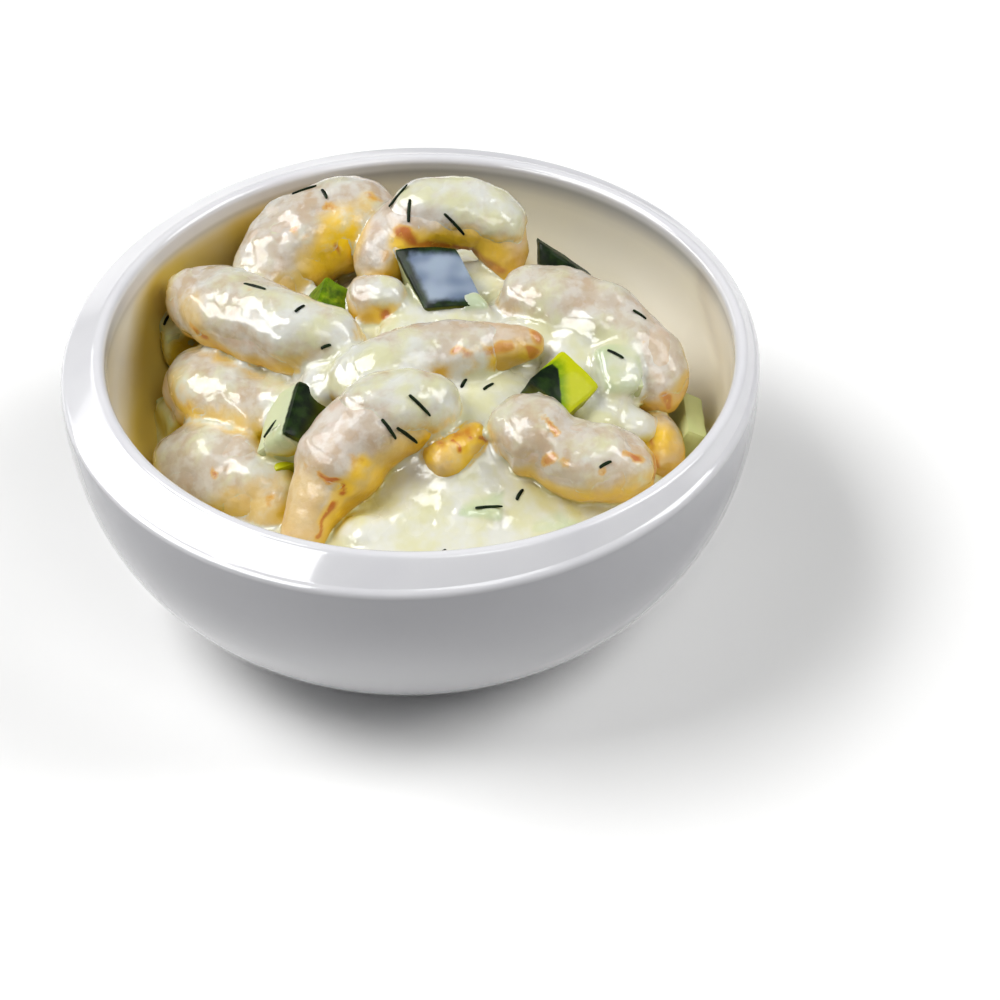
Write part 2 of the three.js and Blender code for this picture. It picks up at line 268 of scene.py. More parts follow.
def drawRings(name, rings, sides):
    # a circle, extruded ring by ring, each one sized, moved and leant with the mouth
    s = bowlSizes
    radius, height, follow = rings[0]
    bpy.ops.mesh.primitive_circle_add(vertices=sides, radius=radius * mm, fill_type="NGON")
    piece = bpy.context.object
    piece.name = name
    openUp(piece)
    bpy.ops.transform.translate(value=(0, 0, height * mm))
    for i in range(1, len(rings)):
        lastRadius, lastHeight, lastFollow = rings[i - 1]
        radius, height, follow = rings[i]
        more = follow - lastFollow
        middle = Vector((s["shift"][0] * follow, s["shift"][1] * follow, height)) * mm
        step = (s["shift"][0] * more * mm, s["shift"][1] * more * mm, (height - lastHeight) * mm)
        bpy.ops.mesh.extrude_region_move(TRANSFORM_OT_translate={"value": step})
        size = radius / lastRadius
        bpy.ops.transform.resize(value=(size, size, size), center_override=middle)
        for axis, lean in (("X", s["slope"][1]), ("Y", -s["slope"][0])):
            turnBy({axis: lean / s["radius"] * more}, middle)
    bpy.ops.mesh.select_all(action="SELECT")
    bpy.ops.mesh.normals_make_consistent(inside=False)
    closeUp()
    return piece


bowl = drawRings("porcelainBowl", bowlRings(), bowlSizes["sides"])
finishWith(bowl, "SUBSURF", levels=1, render_levels=1)
smoothed(bowl)
print("bowl drawn")


# shrimps: rings carried along a spine, back outwards, then lumped a little

shrimpForm = {
    "sides": 22, "rings": 46, "deep": 1.1, "belly": 0.85, "neck": 0.9,
    "joints": 5.5, "jointStep": 0.05, "dentWidth": 0.09, "seamWidth": 0.06,
    "lumps": [(6, 1.1, "CLOUDS"), (4.4, -0.6, "VORONOI"), (2.4, 0.4, "CLOUDS"), (0.9, 0.12, "CLOUDS")],
}

shrimps = {
    "shrimp_front": {
        "spine": [
            (6.6, -6.8, 32.6), (-0.4, -8, 33.2), (-7, -10.4, 31.1), (-12.3, -14.6, 26.2),
            (-16, -19.6, 21.4), (-18, -24, 17),
        ],
        "girth": 6.4, "tail": 0.58, "film": -0.35, "seams": [(0.6, 0.1)],
        "caps": [((-0.5, -9.5, 38.6), 5.5, 0.9), ((-6, -8, 38), 4.5, 0.8), ((4, -9.5, 36.8), 5, 0.9)],
    },
    "shrimp_middle": {
        "spine": [(-10.5, -2.4, 30), (-4, 1.2, 32.8), (4, 2.8, 34), (12, 2.8, 35.2), (19.3, 3.1, 35.6)],
        "girth": 5.3, "tail": 0.62, "film": -0.1,
        "caps": [((-7, -1.6, 36.3), 6, 1.2), ((0, 0, 38), 5, 0.8), ((8.5, -1.2, 34.9), 4, 0.8)],
    },
    "shrimp_right_upper": {
        "spine": [
            (13, 14.6, 33.8), (19.4, 13.9, 34), (26.4, 11.4, 33.2), (32, 7, 30.9), (35.2, 2.4, 28),
            (33.6, -1.8, 25.6),
        ],
        "girth": 5.6, "tail": 0.9, "film": 0.0,
        "caps": [((26, 6, 34), 4.5, 0.9), ((30, 4, 33.8), 4, 0.8), ((20, 8.6, 34.6), 4, 0.7)],
    },
    "shrimp_right_lower": {
        "spine": [
            (11.2, -9.8, 31), (16, -11, 31), (22, -14.6, 29), (28.3, -15.2, 27.4), (32.6, -12.4, 25),
        ],
        "girth": 6, "tail": 0.85, "film": 0.1, "dent": (0.4, 0.13),
        "caps": [((10, -11, 36), 5, 0.6), ((14.9, -15, 35.1), 4, 0.4)],
    },
    "shrimp_left_upper": {
        "spine": [
            (-34.2, 24.4, 29.8), (-29.5, 20.6, 32), (-22.5, 14.6, 33), (-14.8, 9.8, 33),
            (-6.5, 8, 31.4),
        ],
        "girth": 6.2, "tail": 0.95, "film": 0.1,
        "caps": [((-17.7, 8.5, 38.9), 6, 0.9), ((-11, 7, 37.5), 5, 0.9), ((-23.5, 14, 38.8), 5, 0.6)],
    },
    "shrimp_back_middle": {
        "spine": [
            (-4.6, 20.8, 32.4), (-1.4, 26, 36.2), (5, 28.4, 39.4), (12.4, 27, 38.8), (15.8, 21.8, 32.6),
        ],
        "girth": 5.6, "tail": 0.75, "film": -0.4,
        "caps": [
            ((8.5, 28, 44.2), 5.5, 0.9), ((2.7, 29.1, 43.8), 4.5, 0.9), ((14.3, 26.4, 42.2), 5, 0.9),
        ],
    },
    "shrimp_back_left": {
        "spine": [(0, 32.6, 35), (-7, 33, 35.2), (-14.2, 31.4, 34), (-19, 27, 31), (-18.4, 21.6, 26.8)],
        "girth": 7.2, "tail": 0.95, "film": 0.05,
        "caps": [((-23, 26, 36), 4, 0.6), ((-9, 36, 42), 4, 0.6)],
    },
    "shrimp_behind_dice": {
        "spine": [(-8.1, 17.5, 32.5), (-4.3, 16, 34), (-0.8, 14.1, 33)],
        "girth": 4, "tail": 0.8, "film": 0.0,
        "caps": [((-3, 15, 38), 3.5, 0.9)],
    },
    "shrimp_left_middle": {
        "spine": [
            (-32.6, 17.6, 22), (-30.4, 12, 23), (-25.8, 7, 23.6), (-20, 4.4, 24), (-14.5, 4.4, 24.4),
        ],
        "girth": 6.2, "tail": 0.8, "film": 0.1,
        "caps": [((-27, 6.3, 29.5), 4.5, 0.5), ((-32, 11, 28), 4, 0.5)],
    },
    "shrimp_left_lower": {
        "spine": [
            (-36.8, 4, 16.4), (-32.2, -0.2, 18), (-26.6, -4, 18.6), (-21, -8.4, 18), (-18, -13.8, 17),
        ],
        "girth": 6.6, "tail": 0.75, "film": 0.1,
        "caps": [((-31, -3, 24.5), 4, 0.5)],
    },
    "shrimp_right_edge": {
        "spine": [(31.8, -1.4, 23), (34.8, -5.1, 22), (34.8, -10, 20.5)],
        "girth": 4.2, "tail": 0.8, "film": -0.4,
        "caps": [],
    },
    "shrimp_front_small": {
        "spine": [(1.6, -13.4, 27), (6, -11.6, 28.8), (10.2, -9, 29)],
        "girth": 3.8, "tail": 0.8, "film": -0.4,
        "caps": [],
    },
}


def spineOf(points):
    # a smooth line through the points, read by its part from 0 to 1
    knots = [Vector(p) * mm for p in points]
    knots = [knots[0] * 2 - knots[1], *knots, knots[-1] * 2 - knots[-2]]
    line = []
    for a, b, c, d in zip(knots, knots[1:], knots[2:], knots[3:]):
        before, span, after = (b - a).length ** 0.5, (c - b).length ** 0.5, (d - c).length ** 0.5
        leave = ((b - a) / before - (c - a) / (before + span) + (c - b) / span) * span
        arrive = ((c - b) / span - (d - b) / (span + after) + (d - c) / after) * span
        line += interpolate_bezier(b, b + leave / 3, c - arrive / 3, c, 24)[:-1]
    line.append(knots[-2])
    lengths = [0]
    for a, b in zip(line, line[1:]):
        lengths.append(lengths[-1] + (b - a).length)

    def at(along):
        goal = min(max(along, 0), 1) * lengths[-1]
        last = len(lengths) - 1
        i = max(1, next((n for n, length in enumerate(lengths) if length >= goal), last))
        part = (goal - lengths[i - 1]) / (lengths[i] - lengths[i - 1])
        return line[i - 1].lerp(line[i], part)

    def tangent(along):
        return (at(min(along + 0.01, 1)) - at(max(along - 0.01, 0))).normalized()

    head, middle, end = at(0), at(0.5), at(1)
    out = middle - (head + end) / 2
    side = (end - head).cross(out).normalized()

    def axes(along):
        forward = tangent(along)
        back = side.cross(forward).normalized()
        if back.dot(out) < 0:
            back.negate()
        across = forward.cross(back).normalized()
        return Matrix((back, across, forward)).transposed()

    return at, axes


def girthAt(along, sizes):
    ends = (1 - abs(2 * along - 1) ** 4) ** 0.42
    neck = shrimpForm["neck"]
    taper = neck + (1 - neck) * eased(along, 0, 0.25) - (1 - sizes["tail"]) * eased(along, 0.35, 1)
    joint = shrimpForm["jointStep"] * ((along * shrimpForm["joints"]) % 1 - 0.5) * 0.5
    place, drop = sizes.get("dent", (0.5, 0))
    joint -= drop * math.exp(-((along - place) / shrimpForm["dentWidth"]) ** 2)
    for place, drop in sizes.get("seams", []):  # a bulge that ends in a step down to the tail
        bulge = math.exp(-((along - place + shrimpForm["seamWidth"]) / shrimpForm["seamWidth"]) ** 2)
        joint += drop * bulge - drop * eased(along, place - 0.012, place + 0.012)
    return sizes["girth"] * taper * ends * (1 + joint) * mm


def anglesOf(change):
    return dict(zip("XYZ", change.to_euler("XYZ")))


def shapeShrimp(name, sizes):
    at, axes = spineOf(sizes["spine"])
    count = shrimpForm["rings"]
    stations = {0.5 - 0.5 * math.cos(math.pi * (i + 0.35) / (count - 0.3)) for i in range(count)}
    stations = sorted(s for s in stations if 0.0005 < s < 0.9995)
    size, place, pose = girthAt(stations[0], sizes), at(stations[0]), axes(stations[0])
    bpy.ops.mesh.primitive_circle_add(vertices=shrimpForm["sides"], radius=size, fill_type="NGON")
    piece = bpy.context.object
    piece.name = name
    openUp(piece)
    bpy.ops.transform.resize(value=(shrimpForm["deep"], 1, 1), center_override=(0, 0, 0))
    pick(piece, lambda co: co.x < -0.2 * size)
    bpy.ops.transform.resize(value=(shrimpForm["belly"], 1, 1), center_override=(0, 0, 0))
    bpy.ops.mesh.select_all(action="SELECT")
    turnBy(anglesOf(pose), (0, 0, 0))
    bpy.ops.transform.translate(value=place)
    for along in stations[1:]:
        lastSize, lastPlace, lastPose = size, place, pose
        size, place, pose = girthAt(along, sizes), at(along), axes(along)
        bpy.ops.mesh.extrude_region_move(TRANSFORM_OT_translate={"value": place - lastPlace})
        bpy.ops.transform.resize(value=(size / lastSize,) * 3, center_override=place)
        turnBy(anglesOf(pose @ lastPose.transposed()), place)
    bpy.ops.mesh.select_all(action="SELECT")
    bpy.ops.mesh.normals_make_consistent(inside=False)
    closeUp()
    finishWith(piece, "SUBSURF", levels=1, render_levels=1)
    for lump in shrimpForm["lumps"]:
        roughen(piece, *lump)
    smoothed(piece)
    markAlong(piece, at, axes)
    return piece


def markAlong(piece, at, axes):
    # where each point lies: along the body, and how far round towards the back
    count = 80
    steps = [i / count for i in range(count + 1)]
    line = numpy.array([at(s) for s in steps])
    backs = numpy.array([axes(s).col[0] for s in steps])
    spots = places(piece)
    nearest = ((spots[:, None] - line[None]) ** 2).sum(2).argmin(1)
    out = spots - line[nearest]
    out /= numpy.maximum(numpy.linalg.norm(out, axis=1), 1e-9)[:, None]
    mark(piece, "along", nearest / count)
    mark(piece, "back", (out * backs[nearest]).sum(1))


shrimpPieces = {}
for name, sizes in shrimps.items():
    shrimpPieces[name] = shapeShrimp("flesh_" + name, sizes)
print("shrimps shaped:", len(shrimpPieces))


# cucumber: blocks with the skin on one side, edges softened

diceForm = {"bevel": 0.6, "skinRadius": 20, "cuts": 5, "flatAngle": 35}

dice = {
    "cucumber_skin_up": {
        "at": (5, 17.8, 35), "size": (9.2, 10.4, 7), "turn": (20, 0, -2), "skew": (-0.42, 0),
        # skinSheen: a painted sheen on the skin face that is turned to the lamps
        "skin": "up", "film": -0.9, "skinSheen": 1, "pale": 0.85,
        "caps": [((10.6, 12.4, 36.2), 2.6, 0.5)],
    },
    "cucumber_lime": {
        "at": (20.8, -4.2, 32.3), "size": (7.6, 7.6, 7.4), "turn": (22, 18, -44),
        "skin": "front", "film": -0.9,
    },
    "cucumber_left": {
        "at": (-16.3, -3.2, 27.2), "size": (8, 9.8, 8), "turn": (22, 37, -17),
        "skin": "up", "film": -0.8, "pale": 0.9,
        "caps": [((-19.5, -7.5, 28.5), 3.2, 0.5)],
    },
    "cucumber_back": {
        "at": (23.8, 24, 31), "size": (8, 6, 6), "turn": (60, 0, 0), "skew": (0, -0.75),
        "skin": "all", "film": -0.9,
    },
    "cucumber_green": {
        "at": (-11.6, 17.2, 32.4), "size": (6, 6, 6), "turn": (20, 30, -20),
        "skin": "moss", "film": -0.8,
    },
    "cucumber_right": {
        "at": (29.6, 0.4, 31), "size": (5.5, 7, 6), "turn": (20, 15, 10),
        "skin": "down", "film": 0.35, "pale": 0.9,
        "caps": [((29.5, -1.5, 33), 3.5, 0.8), ((27, -2.5, 30), 3, 0.9)],
    },
    "cucumber_sliver": {
        "at": (-18.4, -4.9, 22.6), "size": (6, 6, 4), "turn": (0, 0, 20),
        "skin": "down", "film": -0.5,
    },
    "cucumber_wall": {
        "at": (38.6, -0.6, 19.6), "size": (3.4, 9, 10), "turn": (0, 30, 0),
        "skin": "down", "film": -0.7, "pale": 0.6,
    },
    "cucumber_front": {
        "at": (9.2, -18.4, 22.2), "size": (6, 7, 7), "turn": (0, 0, -12),
        "skin": "back", "film": 0.05, "pale": 0.4,
    },
    "cucumber_left_wall": {
        "at": (-34.4, 23.6, 23.6), "size": (6, 7, 7), "turn": (0, 0, 20),
        "skin": "down", "film": 0.25, "pale": 0.7,
    },
    "cucumber_low_left": {
        "at": (-33.8, 11.6, 16.8), "size": (7, 7, 7), "turn": (0, 0, 20),
        "skin": "down", "film": 0.25, "pale": 0.7,
    },
    "cucumber_front_right": {
        "at": (19, -20.4, 20.2), "size": (8, 6, 6), "turn": (0, 0, 6),
        "skin": "down", "film": 0.2,
    },
}


def cutDice(name, sizes):
    size = Vector(sizes["size"]) * mm
    bpy.ops.mesh.primitive_cube_add(size=1, location=(0, 0, 0))
    piece = bpy.context.object
    piece.name = name
    openUp(piece)
    bpy.ops.transform.resize(value=size, center_override=(0, 0, 0))
    bpy.ops.mesh.bevel(offset=diceForm["bevel"] * mm, segments=2, profile=0.6)
    bpy.ops.mesh.select_all(action="SELECT")
    bpy.ops.mesh.subdivide(number_cuts=diceForm["cuts"])
    closeUp()
    reach = diceForm["skinRadius"] * mm
    for point in piece.data.vertices:  # the skin side is part of the whole cucumber's round
        if point.co.z > 0:
            point.co.z -= (reach - (reach ** 2 - point.co.x ** 2) ** 0.5) * point.co.z / (size.z / 2)
    skinDepth(piece, sizes, size)
    lean = Matrix.Identity(4)
    lean[0][1], lean[1][0] = sizes.get("skew", (0, 0))
    angles = [math.radians(a) for a in sizes["turn"]]
    pose = Euler(angles, "ZYX").to_matrix().to_4x4()
    piece.data.transform(Matrix.Translation(Vector(sizes["at"]) * mm) @ pose @ lean)
    roughen(piece, 2.5, 0.45)
    choose(piece)
    bpy.ops.object.shade_smooth_by_angle(angle=math.radians(diceForm["flatAngle"]))
    return piece


def skinDepth(piece, sizes, size):
    # how deep each point lies under the dark skin, in mm, and where a painted sheen lies on it, away from
    # its edges
    spots = places(piece) / mm
    half = numpy.array(size) / mm / 2
    rise = spots[:, 0] ** 2 / (2 * diceForm["skinRadius"])
    corner = (spots[:, 0] + spots[:, 1] + 2.0) * 1.2
    strip = numpy.maximum(0.8 - half[0] - spots[:, 0], 0) * 6
    depth = {
        "up": half[2] - spots[:, 2] - rise,
        "down": half[2] + spots[:, 2],
        "back": half[1] - spots[:, 1],
        "all": spots[:, 0] * 0,
        "moss": spots[:, 0] * 0 + 0.9,  # green all over, neither skin nor flesh
        "front": corner + strip,  # skin at one corner, flesh again along one edge
    }[sizes["skin"]]
    mark(piece, "skinDepth", depth)
    inward = numpy.minimum(half[0] + spots[:, 0], (half[1] - abs(spots[:, 1])) * 1.6)
    # painted sheen over the middle of the skin face
    mark(piece, "skinSheen", softStep(inward, 0, 2.6) * sizes.get("skinSheen", 0))
    mark(piece, "pale", spots[:, 0] * 0 + sizes.get("pale", 0))


dicePieces = {}
for name, sizes in dice.items():
    dicePieces[name] = cutDice("cut_" + name, sizes)
print("cucumber cut:", len(dicePieces))


# the dressing: a mound at the height seen in the photograph, grown over the pieces that it coats

creamForm = {
    "sites": [  # x, y and height
        (8, -5, 34), (-4, 5, 33), (2, 20, 32), (20, 16, 31), (4, 43, 26), (-26, 33, 23), (-42, 18, 16),
        (-43, 0, 12.5), (-28, -2, 16), (-24, 16, 26), (-22, -20, 18), (-6, -21, 24), (-3, -42, 19),
        (18, -21, 24), (26, -34, 19), (31, 2, 27), (44, 0, 12), (42, 18, 13), (31, 34, 18),
    ],
    "grid": 90, "edge": 48, "bottom": 6, "reach": 8, "ripple": 0.4, "rippleSize": 4,
    "patch": 4.5, "patchHeight": 0.4, "onTop": 0.25, "below": 0.5, "thinnest": -0.7, "thickest": 1.6,
    "lump": (1.15, 1, 0.8), "voxel": 0.5, "smooth": 24, "waves": [(3.6, 0.55), (1.5, 0.16)],
    "lipRoom": [(44.3, 60, 1), (44.5, 39.05, 1)], "wallGap": 0.05,
}

dollops = [  # where the dressing bridges between pieces or lies in a lump: place and radius
    (-11.5, 2, 31, 4), (-8.5, 5, 32.2, 3.4), (-14.5, 2.5, 28.6, 3.4), (-18.5, 0, 25.8, 3),
    (-17.8, 7.6, 27.6, 3), (-20.5, 8.6, 27, 2.6), (1, 12, 32.8, 3.2), (5.5, 11.5, 32.6, 3.4),
    (10, 12, 32.2, 3.6), (13.5, 13, 32, 3), (-1.5, 10, 33, 2.8), (15, 7.5, 32, 4), (19, 8.8, 32, 4.2),
    (23.5, 6, 31.6, 4.2), (26, 3, 30.8, 3.8), (22, 2, 31.4, 3), (27, -3.5, 29, 3.6),
    (31, -5.5, 26.6, 3.4), (26, -7, 28.8, 3), (-6, 19.5, 33, 3), (-12, 20.5, 30.5, 3.4),
    (17.5, 18.5, 31, 3.4), (11.4, 20.6, 32, 3.2), (9.6, 23, 32.6, 3), (14.4, 17, 32, 3),
    (0.2, 13.8, 33.6, 2.6), (1, 17, 34.2, 2.2), (-24, 20, 28.5, 3.6), (-7, -21, 21.6, 4.2),
    (-1.5, -19.5, 22.8, 3.6), (3, -21.5, 21.8, 3), (-23.5, -8, 19.4, 3.2),
]


def creamHeight(x, y):
    total = weights = 0
    for atX, atY, height in creamForm["sites"]:
        weight = math.exp(-((x - atX) ** 2 + (y - atY) ** 2) / (2 * creamForm["reach"] ** 2)) + 1e-9
        total += weight * height
        weights += weight
    return total / weights


def creamMound():
    count, edge = creamForm["grid"], creamForm["edge"] * mm
    bpy.ops.mesh.primitive_grid_add(x_subdivisions=count, y_subdivisions=count, size=2 * edge)
    mound = bpy.context.object
    for point in mound.data.vertices:
        ripple = noise.noise(point.co / (creamForm["rippleSize"] * mm)) * creamForm["ripple"]
        point.co.z = (creamHeight(point.co.x / mm, point.co.y / mm) + ripple) * mm
    openUp(mound)
    pick(mound, lambda co: math.hypot(co.x, co.y) > edge)
    bpy.ops.mesh.delete(type="VERT")
    bpy.ops.mesh.select_all(action="SELECT")
    bpy.ops.mesh.extrude_region_move(TRANSFORM_OT_translate={"value": (0, 0, -0.02)})
    bpy.ops.transform.resize(value=(1, 1, 0), center_override=(0, 0, creamForm["bottom"] * mm))
    bpy.ops.mesh.select_all(action="SELECT")
    bpy.ops.mesh.normals_make_consistent(inside=False)
    closeUp()
    return mound


def coated(piece, sizes, seed):
    # a copy of a piece, swollen where the dressing clings to it and shrunk inside it elsewhere
    coat = copied(piece)
    spots, ways = places(piece), facing(piece)
    swell = sizes["film"] + creamForm["patchHeight"] * clump(spots, creamForm["patch"], seed)
    swell += creamForm["onTop"] * softStep(ways[:, 2], 0.1, 0.8)
    swell -= creamForm["below"] * softStep(-ways[:, 2], -0.1, 0.5)
    for place, reach, height in sizes.get("caps", []):
        away = numpy.linalg.norm(spots - numpy.array(place) * mm, axis=1) / (reach * mm)
        cap = height * numpy.exp(-away ** 4) - 0.5 * (away > 1)
        swell = numpy.maximum(swell, cap)
    swell = numpy.clip(swell, creamForm["thinnest"], creamForm["thickest"])
    moved = spots + ways * swell[:, None] * mm
    coat.data.vertices.foreach_set("co", moved.ravel())
    coat.data.update()
    return coat


def dollop(x, y, z, radius):
    bpy.ops.mesh.primitive_ico_sphere_add(subdivisions=3, radius=radius * mm)
    lump = bpy.context.object
    openUp(lump)
    bpy.ops.transform.resize(value=creamForm["lump"], center_override=(0, 0, 0))
    bpy.ops.transform.translate(value=(x * mm, y * mm, z * mm))
    closeUp()
    return lump


parts = [creamMound()] + [dollop(*lump) for lump in dollops]
for seed, (name, sizes) in enumerate(shrimps.items()):
    parts.append(coated(shrimpPieces[name], sizes, seed * 7.3))
for seed, (name, sizes) in enumerate(dice.items()):
    parts.append(coated(dicePieces[name], sizes, seed * 5.1 + 100))
cream = joined(parts, "creamDressing")
for layer in list(cream.data.attributes):
    if layer.name in ("along", "back", "skinDepth", "skinSheen", "pale"):
        cream.data.attributes.remove(layer)
finishWith(cream, "REMESH", mode="VOXEL", voxel_size=creamForm["voxel"] * mm, use_smooth_shade=True)
finishWith(cream, "SMOOTH", factor=0.5, iterations=creamForm["smooth"])
for wave in creamForm["waves"]:
    roughen(cream, *wave)
roomRings = [*creamForm["lipRoom"], *wallRings(creamForm["wallGap"])]
room = drawRings("room", roomRings, bowlSizes["sides"])  # the dressing keeps to the inside of the bowl
finishWith(cream, "BOOLEAN", operation="INTERSECT", object=room, solver="EXACT")
bpy.data.objects.remove(room)
smoothed(cream)
print("dressing poured:", len(cream.data.vertices))


# colours that lie only in places: from, to, half width in mm, strength

streaks = [
    ((18.4, -14.2, 36), (20.1, -16, 35.3), 0.5, 0.8),
    ((26.9, -14.3, 33.3), (27.9, -17.5, 32.7), 0.5, 0.9),
    ((27.9, -17.5, 32.7), (26, -20.6, 31.4), 0.45, 0.7), ((29, -18, 32.1), (31.6, -17.6, 30.3), 0.7, 1),
    ((17.4, -18.8, 31.5), (19.1, -18.8, 32.9), 0.6, 0.7),
    ((20.6, -19.2, 32.6), (20.9, -19.2, 32.2), 0.7, 0.6),
    ((15.7, -17.6, 27.9), (16.1, -17.4, 25.5), 0.5, 0.8),
    ((33.7, -17.3, 27.4), (33.9, -15, 29), 0.8, 0.8), ((6.4, -0.2, 37.6), (10, -0.5, 36.9), 0.8, 0.8),
    ((10, -0.5, 36.9), (14.6, 0.7, 37.7), 0.7, 0.7), ((18.2, 3.6, 39.4), (19.4, 1.4, 37.4), 1.1, 1),
    ((17.2, 0.9, 36), (18.6, 0.2, 35), 0.9, 1), ((-16.6, -12.4, 28.9), (-14.8, -15.7, 31), 0.4, 0.8),
    ((-14.8, -15.7, 31), (-12.1, -18, 30.4), 0.45, 1),
    ((-12.1, -18, 30.4), (-10, -17.7, 30.4), 0.45, 1), ((-10, -17.7, 30.4), (-8.9, -17, 31.7), 0.45, 1),
    ((-8.9, -17, 31.7), (-9.1, -16.2, 33.1), 0.5, 0.7),
    ((-10.2, -18.3, 29.4), (-14.2, -21.9, 23.4), 0.4, 1),
    ((-7.8, -16.7, 32.1), (-9.8, -18, 29.8), 0.5, 0.6), ((-0.5, 23.5, 41.4), (1.2, 22.8, 40.3), 1, 0.9),
    ((2.3, 22.6, 39.5), (9.7, 24.5, 37), 0.9, 0.8), ((9.7, 24.5, 37), (13.9, 21.1, 35.2), 1, 0.8),
    ((-2.9, 21.6, 38.7), (-3.2, 21.2, 36), 0.7, 0.4),
    ((-15.8, 27.4, 39.7), (-14.9, 26.6, 38.9), 0.6, 0.9),
    ((-10.3, 26.2, 37.1), (-10, 26.2, 36.5), 0.6, 0.8),
    ((-11.5, 30.5, 41.4), (-10.6, 30.4, 41.3), 0.7, 0.7),
    ((-4.6, 32, 41.5), (-4, 31.6, 40.8), 0.8, 0.8),
    ((-31.5, 14.2, 33.3), (-29.4, 12.1, 32.6), 0.6, 0.8),
    ((-22.7, 8.7, 29.6), (-21.6, 8.3, 29.3), 0.8, 1),
    ((-33.1, 6.6, 26.4), (-32.2, 4.5, 25.6), 0.6, 0.6),
    ((-29.3, -7.1, 23.2), (-29, -7.4, 22.8), 0.6, 1),
    ((-20.8, -12, 21.6), (-20.4, -12.2, 21.2), 0.7, 0.7),
    ((32.9, 3.4, 34.4), (32.5, 2.2, 33.2), 0.7, 0.9), ((36.5, -2, 29.1), (37.2, -2.3, 27.4), 0.7, 0.9),
    ((33.9, -7.2, 25.1), (35, -12, 22), 0.6, 0.8), ((5.4, -13.3, 32.2), (6, -14.2, 31.6), 0.5, 1),
    ((7.9, -12.5, 32.1), (10.2, -11.7, 30.9), 0.45, 0.9),
    ((-3.3, 12.5, 35.3), (-2.7, 12.3, 33.6), 1, 0.9),
    ((-23.5, 14.5, 39.5), (-21.9, 13.3, 39.2), 0.5, 0.5),
    # this stroke is partly orange flesh and partly painted shade deepening the small shrimp's hollow
    ((4, -12.8, 31), (7.6, -11.8, 31.6), 1.3, 0.9),
]


hollowShadeStrokes = [  # painted shade: saturated yellow flesh in hollows and on undersides, where shade falls
    ((-8.7, 27.5, 39.4), (-11.3, 25.6, 36.1), 3.2, 1),
    ((-11.3, 25.6, 36.1), (-14.1, 24.4, 35.9), 2.2, 0.5),
    ((-4.9, 31.5, 41.5), (-5.5, 30, 41), 1.4, 0.5), ((-0.2, 22.6, 40), (4.5, 21.5, 40), 2, 0.9),
    ((4.5, 22, 39.8), (9, 23.5, 38.7), 2.2, 0.9), ((9, 23.5, 38.7), (12.9, 22, 37.6), 2.8, 1),
    ((12.9, 22, 37.6), (14, 20.5, 34), 2.2, 0.8), ((-3.3, 12.3, 34.9), (-1, 12, 34), 1.8, 0.8),
    ((-31.8, 14.9, 35.6), (-30, 13, 33), 2.4, 0.4), ((-26.3, 11.3, 29.7), (-16.1, 5, 30.6), 2, 0.6),
    ((-33.9, 8.4, 26.9), (-33.2, 5.5, 25.4), 2.2, 0.7), ((-33.2, 5.5, 25.4), (-28.1, 0.6, 23), 2, 0.8),
    ((-28, 0.5, 24), (-23.1, -0.5, 23.5), 2, 1), ((-24.8, -11.2, 20.2), (-21, -9.4, 23.2), 2, 0.4),
    ((-7.4, -16.7, 31.8), (-10.4, -18.5, 28.9), 1.3, 0.9),
    ((-10.4, -18.5, 28.9), (-13.1, -20.9, 24.9), 1.2, 0.7),
    ((-16, -17.5, 27.6), (-18, -21.5, 22.5), 4, 0.35),
    ((5.1, -11.4, 32.3), (8.6, -12.5, 31.8), 2.4, 0.9),
    ((3.5, -14.9, 31.1), (9.2, -13.5, 28.5), 2.2, 0.7),
    ((35.3, -7.4, 25.3), (32.5, -6.6, 24.7), 2.8, 0.9),
    ((33.7, -17.3, 27.4), (33.7, -14, 28.5), 1.7, 0.6),
    ((15.7, -17.6, 27.9), (20, -20, 27.5), 1.4, 0.5), ((22, -21, 27), (30, -21, 27), 1.4, 0.5),
    ((10, -1, 36.9), (17.5, 0.8, 36.5), 1.6, 0.5), ((-26.5, 1.4, 25.6), (-21.5, -0.2, 25), 2, 0.6),
    ((-30, 2.6, 25.6), (-26.5, 1.4, 25.6), 1.4, 0.5), ((3.2, -13.6, 30.5), (8.6, -11.6, 31), 2.6, 1),
    ((-27, -11, 20), (-20, -13.5, 20), 2.6, 0.5), ((-5, -17.5, 29), (0, -15.5, 28), 1.8, 0.6),
    ((-11.5, -20.5, 25), (-12, -23, 22), 1.6, 0.6),
]


def paint(piece):
    spots = places(piece)
    wander = numpy.stack([clump(spots, 1.6, seed) for seed in (3, 9, 15)], axis=1) * 0.45 * mm
    for name, strokes in (("orange", streaks), ("hollowShade", hollowShadeStrokes)):
        value = numpy.zeros(len(spots))
        for start, end, width, strength in strokes:
            away = nearStroke(spots + wander, start, end)
            value = numpy.maximum(value, strength * (1 - softStep(away, width * 0.4, width * 1.6)))
        mark(piece, name, value)


# marks that the finishes read: how sheltered a place is and how far it turns from the light, which they
# paint as shade, and what lies under the dressing

def treeOf(pieces):
    spots, faces = [], []
    for piece in pieces:
        start = len(spots)
        spots += [point.co.copy() for point in piece.data.vertices]
        faces += [[start + n for n in face.vertices] for face in piece.data.polygons]
    return BVHTree.FromPolygons(spots, faces)


rayForm = {"count": 14, "reach": 9, "start": 0.3, "fade": 0.6}
underReach = 1.6  # in mm
lightFrom = (-0.5, 0.35, 0.79)
golden = math.pi * (3 - 5 ** 0.5)
fan = []
for i in range(rayForm["count"]):
    up = math.sqrt(1 - (i + 0.5) / rayForm["count"])
    out = math.sqrt(1 - up * up)
    fan.append(Vector((out * math.cos(golden * i), out * math.sin(golden * i), up)))


